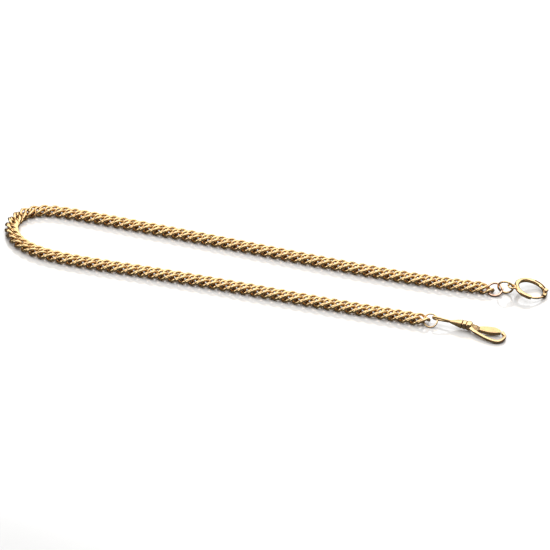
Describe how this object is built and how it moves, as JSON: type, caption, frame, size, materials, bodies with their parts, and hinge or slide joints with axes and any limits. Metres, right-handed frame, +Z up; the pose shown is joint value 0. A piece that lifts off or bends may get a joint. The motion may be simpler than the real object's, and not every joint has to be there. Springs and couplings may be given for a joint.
{
  "type": "pocket watch chain",
  "caption": "Double curb chain for a pocket watch, laid in a hairpin, with a bolt ring on one end and a swivel snap hook on the other.",
  "frame": {"origin": "under the middle of the laid-out chain, on the surface that it lies on", "axes": "+X along the two runs towards the bolt ring and the swivel hook, +Y across them from the hook's run to the bolt ring's run, +Z up"},
  "size_m": [0.1874, 0.038, 0.0054],
  "materials": {
    "chain_gold": "polished yellow gold, softly worn",
    "polished_gold": "polished yellow gold",
    "rose_gold": "polished rose gold",
    "spring_steel": "bare spring wire"
  },
  "bodies": {
    "pair_01": {"link_pair_01": "chain_gold"},
    "pair_02": {"link_pair_02": "chain_gold"},
    "pair_03": {"link_pair_03": "chain_gold"},
    "pair_04": {"link_pair_04": "chain_gold"},
    "pair_05": {"link_pair_05": "chain_gold"},
    "pair_06": {"link_pair_06": "chain_gold"},
    "pair_07": {"link_pair_07": "chain_gold"},
    "pair_08": {"link_pair_08": "chain_gold"},
    "pair_09": {"link_pair_09": "chain_gold"},
    "pair_10": {"link_pair_10": "chain_gold"},
    "pair_11": {"link_pair_11": "chain_gold"},
    "pair_12": {"link_pair_12": "chain_gold"},
    "pair_13": {"link_pair_13": "chain_gold"},
    "pair_14": {"link_pair_14": "chain_gold"},
    "pair_15": {"link_pair_15": "chain_gold"},
    "pair_16": {"link_pair_16": "chain_gold"},
    "pair_17": {"link_pair_17": "chain_gold"},
    "pair_18": {"link_pair_18": "chain_gold"},
    "pair_19": {"link_pair_19": "chain_gold"},
    "pair_20": {"link_pair_20": "chain_gold"},
    "pair_21": {"link_pair_21": "chain_gold"},
    "pair_22": {"link_pair_22": "chain_gold"},
    "pair_23": {"link_pair_23": "chain_gold"},
    "pair_24": {"link_pair_24": "chain_gold"},
    "pair_25": {"link_pair_25": "chain_gold"},
    "pair_26": {"link_pair_26": "chain_gold"},
    "pair_27": {"link_pair_27": "chain_gold"},
    "pair_28": {"link_pair_28": "chain_gold"},
    "pair_29": {"link_pair_29": "chain_gold"},
    "pair_30": {"link_pair_30": "chain_gold"},
    "pair_31": {"link_pair_31": "chain_gold"},
    "pair_32": {"link_pair_32": "chain_gold"},
    "pair_33": {"link_pair_33": "chain_gold"},
    "pair_34": {"link_pair_34": "chain_gold"},
    "pair_35": {"link_pair_35": "chain_gold"},
    "pair_36": {"link_pair_36": "chain_gold"},
    "pair_37": {"link_pair_37": "chain_gold"},
    "pair_38": {"link_pair_38": "chain_gold"},
    "pair_39": {"link_pair_39": "chain_gold"},
    "pair_40": {"link_pair_40": "chain_gold"},
    "pair_41": {"link_pair_41": "chain_gold"},
    "pair_42": {"link_pair_42": "chain_gold"},
    "pair_43": {"link_pair_43": "chain_gold"},
    "pair_44": {"link_pair_44": "chain_gold"},
    "pair_45": {"link_pair_45": "chain_gold"},
    "pair_46": {"link_pair_46": "chain_gold"},
    "end_ring": {"end_jump_ring": "rose_gold"},
    "connecting_ring": {"connecting_ring": "polished_gold"},
    "bolt_ring": {"bolt_ring_tube": "polished_gold", "bolt_spring": "spring_steel"},
    "bolt": {"sliding_bolt": "polished_gold", "thumb_knob": "polished_gold"},
    "swivel_ring": {"swivel_jump_ring": "polished_gold"},
    "swivel_head": {"swivel_eye": "polished_gold", "swivel_rivet": "polished_gold"},
    "clasp": {"clasp_body": "polished_gold", "swivel_collar": "polished_gold", "gate_pin": "polished_gold", "gate_spring": "spring_steel"},
    "gate": {"clasp_gate": "polished_gold"}
  },
  "joints": [
    {"name": "gate_hinge", "type": "hinge", "parent": "clasp", "child": "gate", "pos_m": [0.07626, -0.0145, 0.00165], "axis": [-0.0565, 0.1387, -0.9887], "range_deg": [0, 15], "stiffness_Nm_per_rad": 0.0002, "deforming": ["gate_spring"]},
    {"name": "bolt_slide", "type": "hinge", "parent": "bolt_ring", "child": "bolt", "pos_m": [0.08797, 0.01332, 0.00205], "axis": [0.2389, 0.0378, 0.9703], "range_deg": [0, 70], "stiffness_Nm_per_rad": 0.0001, "deforming": ["bolt_spring"]},
    {"name": "swivel_spin", "type": "hinge", "parent": "swivel_head", "child": "clasp", "pos_m": [0.07182, -0.01365, 0.00203], "axis": [0.9984, 0.0087, -0.0558], "continuous": true},
    {"name": "swivel_hinge", "type": "hinge", "parent": "swivel_ring", "child": "swivel_head", "pos_m": [0.06275, -0.01315, 0.00288], "axis": [-0.7771, 0.4537, 0.4361], "range_deg": [-45, 24]},
    {"name": "swivel_ring_hinge", "type": "hinge", "parent": "pair_46", "child": "swivel_ring", "pos_m": [0.05999, -0.01444, 0.00148], "axis": [-0.0115, 0.6156, -0.788], "range_deg": [-24, 45]},
    {"name": "bolt_ring_hinge", "type": "hinge", "parent": "connecting_ring", "child": "bolt_ring", "pos_m": [0.0822, 0.01079, 0.00367], "axis": [-0.3888, -0.192, 0.9011], "range_deg": [-50, 50]},
    {"name": "connecting_ring_hinge", "type": "hinge", "parent": "end_ring", "child": "connecting_ring", "pos_m": [0.07888, 0.01088, 0.00179], "axis": [-0.3027, 0.8365, 0.4568], "range_deg": [-50, 50]},
    {"name": "end_ring_hinge", "type": "hinge", "parent": "pair_01", "child": "end_ring", "pos_m": [0.07524, 0.01009, 0.00148], "axis": [-0.0539, 0.6133, -0.788], "range_deg": [-38, 45]},
    {"name": "turn_23_24", "type": "hinge", "parent": "pair_24", "child": "pair_23", "pos_m": [-0.08908, 0.00598, 0.00148], "axis": [0, 0, 1], "range_deg": [-4.1, 22]},
    {"name": "lift_22_23", "type": "hinge", "parent": "pair_23", "child": "pair_22", "pos_m": [-0.08358, 0.00975, 0.00148], "axis": [0.2464, -0.9692, 0], "range_deg": [-15, 15]},
    {"name": "turn_21_22", "type": "hinge", "parent": "pair_22", "child": "pair_21", "pos_m": [-0.07652, 0.01074, 0.00148], "axis": [0, 0, -1], "range_deg": [-22, 4.4]},
    {"name": "lift_20_21", "type": "hinge", "parent": "pair_21", "child": "pair_20", "pos_m": [-0.06932, 0.01083, 0.00148], "axis": [0.0041, 1, 0], "range_deg": [-15, 15]},
    {"name": "turn_19_20", "type": "hinge", "parent": "pair_20", "child": "pair_19", "pos_m": [-0.06212, 0.01076, 0.00148], "axis": [0, 0, 1], "range_deg": [-4.8, 22]},
    {"name": "lift_18_19", "type": "hinge", "parent": "pair_19", "child": "pair_18", "pos_m": [-0.05493, 0.01063, 0.00148], "axis": [-0.0217, -0.9998, 0], "range_deg": [-15, 15]},
    {"name": "turn_17_18", "type": "hinge", "parent": "pair_18", "child": "pair_17", "pos_m": [-0.04773, 0.01047, 0.00148], "axis": [0, 0, -1], "range_deg": [-22, 5.3]},
    {"name": "lift_16_17", "type": "hinge", "parent": "pair_17", "child": "pair_16", "pos_m": [-0.04053, 0.01031, 0.00148], "axis": [0.0236, 0.9997, 0], "range_deg": [-15, 15]},
    {"name": "turn_15_16", "type": "hinge", "parent": "pair_16", "child": "pair_15", "pos_m": [-0.03333, 0.01013, 0.00148], "axis": [0, 0, 1], "range_deg": [-5.9, 22]},
    {"name": "lift_14_15", "type": "hinge", "parent": "pair_15", "child": "pair_14", "pos_m": [-0.02613, 0.00993, 0.00148], "axis": [-0.028, -0.9996, 0], "range_deg": [-15, 15]},
    {"name": "turn_13_14", "type": "hinge", "parent": "pair_14", "child": "pair_13", "pos_m": [-0.01894, 0.00972, 0.00148], "axis": [0, 0, -1], "range_deg": [-22, 6.6]},
    {"name": "lift_12_13", "type": "hinge", "parent": "pair_13", "child": "pair_12", "pos_m": [-0.01174, 0.00949, 0.00148], "axis": [0.0349, 0.9994, 0], "range_deg": [-15, 15]},
    {"name": "turn_11_12", "type": "hinge", "parent": "pair_12", "child": "pair_11", "pos_m": [-0.00455, 0.00922, 0.00148], "axis": [0, 0, 1], "range_deg": [-7.5, 22]},
    {"name": "lift_10_11", "type": "hinge", "parent": "pair_11", "child": "pair_10", "pos_m": [0.00265, 0.00895, 0.00148], "axis": [-0.0366, -0.9993, 0], "range_deg": [-15, 15]},
    {"name": "turn_09_10", "type": "hinge", "parent": "pair_10", "child": "pair_09", "pos_m": [0.00984, 0.00871, 0.00148], "axis": [0, 0, -1], "range_deg": [-22, 8.7]},
    {"name": "lift_08_09", "type": "hinge", "parent": "pair_09", "child": "pair_08", "pos_m": [0.01704, 0.00849, 0.00148], "axis": [0.0301, 0.9995, 0], "range_deg": [-15, 15]},
    {"name": "turn_07_08", "type": "hinge", "parent": "pair_08", "child": "pair_07", "pos_m": [0.02424, 0.00829, 0.00148], "axis": [0, 0, 1], "range_deg": [-10.4, 22]},
    {"name": "lift_06_07", "type": "hinge", "parent": "pair_07", "child": "pair_06", "pos_m": [0.03144, 0.00816, 0.00148], "axis": [-0.0122, -0.9999, 0], "range_deg": [-15, 15]},
    {"name": "turn_05_06", "type": "hinge", "parent": "pair_06", "child": "pair_05", "pos_m": [0.03864, 0.00812, 0.00148], "axis": [0, 0, -1], "range_deg": [-22, 12.8]},
    {"name": "lift_04_05", "type": "hinge", "parent": "pair_05", "child": "pair_04", "pos_m": [0.04584, 0.00817, 0.00148], "axis": [-0.0156, 0.9999, 0], "range_deg": [-15, 15]},
    {"name": "turn_03_04", "type": "hinge", "parent": "pair_04", "child": "pair_03", "pos_m": [0.05303, 0.00838, 0.00148], "axis": [0, 0, 1], "range_deg": [-16.9, 22]},
    {"name": "lift_02_03", "type": "hinge", "parent": "pair_03", "child": "pair_02", "pos_m": [0.06022, 0.0088, 0.00148], "axis": [0.0754, -0.9972, 0], "range_deg": [-15, 15]},
    {"name": "turn_01_02", "type": "hinge", "parent": "pair_02", "child": "pair_01", "pos_m": [0.06739, 0.00939, 0.00148], "axis": [0, 0, -1], "range_deg": [-22, 20]},
    {"name": "turn_24_25", "type": "hinge", "parent": "pair_24", "child": "pair_25", "pos_m": [-0.09082, -0.00043, 0.00148], "axis": [0, 0, 1], "range_deg": [-22, 4.3]},
    {"name": "lift_25_26", "type": "hinge", "parent": "pair_25", "child": "pair_26", "pos_m": [-0.0886, -0.00695, 0.00148], "axis": [0.84, 0.5426, 0], "range_deg": [-15, 15]},
    {"name": "turn_26_27", "type": "hinge", "parent": "pair_26", "child": "pair_27", "pos_m": [-0.0837, -0.01196, 0.00148], "axis": [0, 0, -1], "range_deg": [-4.5, 22]},
    {"name": "lift_27_28", "type": "hinge", "parent": "pair_27", "child": "pair_28", "pos_m": [-0.07727, -0.01491, 0.00148], "axis": [-0.26, -0.9656, 0], "range_deg": [-15, 15]},
    {"name": "turn_28_29", "type": "hinge", "parent": "pair_28", "child": "pair_29", "pos_m": [-0.07023, -0.01621, 0.00148], "axis": [0, 0, 1], "range_deg": [-22, 4.9]},
    {"name": "lift_29_30", "type": "hinge", "parent": "pair_29", "child": "pair_30", "pos_m": [-0.06305, -0.01658, 0.00148], "axis": [0.0002, 1, 0], "range_deg": [-15, 15]},
    {"name": "turn_30_31", "type": "hinge", "parent": "pair_30", "child": "pair_31", "pos_m": [-0.05585, -0.01649, 0.00148], "axis": [0, 0, -1], "range_deg": [-5.4, 22]},
    {"name": "lift_31_32", "type": "hinge", "parent": "pair_31", "child": "pair_32", "pos_m": [-0.04865, -0.01624, 0.00148], "axis": [0.0477, -0.9989, 0], "range_deg": [-15, 15]},
    {"name": "turn_32_33", "type": "hinge", "parent": "pair_32", "child": "pair_33", "pos_m": [-0.04146, -0.0159, 0.00148], "axis": [0, 0, 1], "range_deg": [-22, 6]},
    {"name": "lift_33_34", "type": "hinge", "parent": "pair_33", "child": "pair_34", "pos_m": [-0.03427, -0.01562, 0.00148], "axis": [-0.0312, 0.9995, 0], "range_deg": [-15, 15]},
    {"name": "turn_34_35", "type": "hinge", "parent": "pair_34", "child": "pair_35", "pos_m": [-0.02707, -0.01541, 0.00148], "axis": [0, 0, -1], "range_deg": [-6.8, 22]},
    {"name": "lift_35_36", "type": "hinge", "parent": "pair_35", "child": "pair_36", "pos_m": [-0.01987, -0.01525, 0.00148], "axis": [0.0204, -0.9998, 0], "range_deg": [-15, 15]},
    {"name": "turn_36_37", "type": "hinge", "parent": "pair_36", "child": "pair_37", "pos_m": [-0.01267, -0.01512, 0.00148], "axis": [0, 0, 1], "range_deg": [-22, 7.8]},
    {"name": "lift_37_38", "type": "hinge", "parent": "pair_37", "child": "pair_38", "pos_m": [-0.00547, -0.01504, 0.00148], "axis": [-0.0069, 1, 0], "range_deg": [-15, 15]},
    {"name": "turn_38_39", "type": "hinge", "parent": "pair_38", "child": "pair_39", "pos_m": [0.00173, -0.01503, 0.00148], "axis": [0, 0, -1], "range_deg": [-9.1, 22]},
    {"name": "lift_39_40", "type": "hinge", "parent": "pair_39", "child": "pair_40", "pos_m": [0.00893, -0.01505, 0.00148], "axis": [-0.0045, -1, 0], "range_deg": [-15, 15]},
    {"name": "turn_40_41", "type": "hinge", "parent": "pair_40", "child": "pair_41", "pos_m": [0.01613, -0.01507, 0.00148], "axis": [0, 0, 1], "range_deg": [-22, 10.9]},
    {"name": "lift_41_42", "type": "hinge", "parent": "pair_41", "child": "pair_42", "pos_m": [0.02333, -0.01505, 0.00148], "axis": [-0.0066, 1, 0], "range_deg": [-15, 15]},
    {"name": "turn_42_43", "type": "hinge", "parent": "pair_42", "child": "pair_43", "pos_m": [0.03052, -0.01498, 0.00148], "axis": [0, 0, -1], "range_deg": [-13.7, 22]},
    {"name": "lift_43_44", "type": "hinge", "parent": "pair_43", "child": "pair_44", "pos_m": [0.03772, -0.01486, 0.00148], "axis": [0.018, -0.9998, 0], "range_deg": [-15, 15]},
    {"name": "turn_44_45", "type": "hinge", "parent": "pair_44", "child": "pair_45", "pos_m": [0.04492, -0.01473, 0.00148], "axis": [0, 0, 1], "range_deg": [-22, 18.5]},
    {"name": "lift_45_46", "type": "hinge", "parent": "pair_45", "child": "pair_46", "pos_m": [0.05212, -0.01459, 0.00148], "axis": [-0.0196, 0.9998, 0], "range_deg": [-15, 15]}
  ]
}
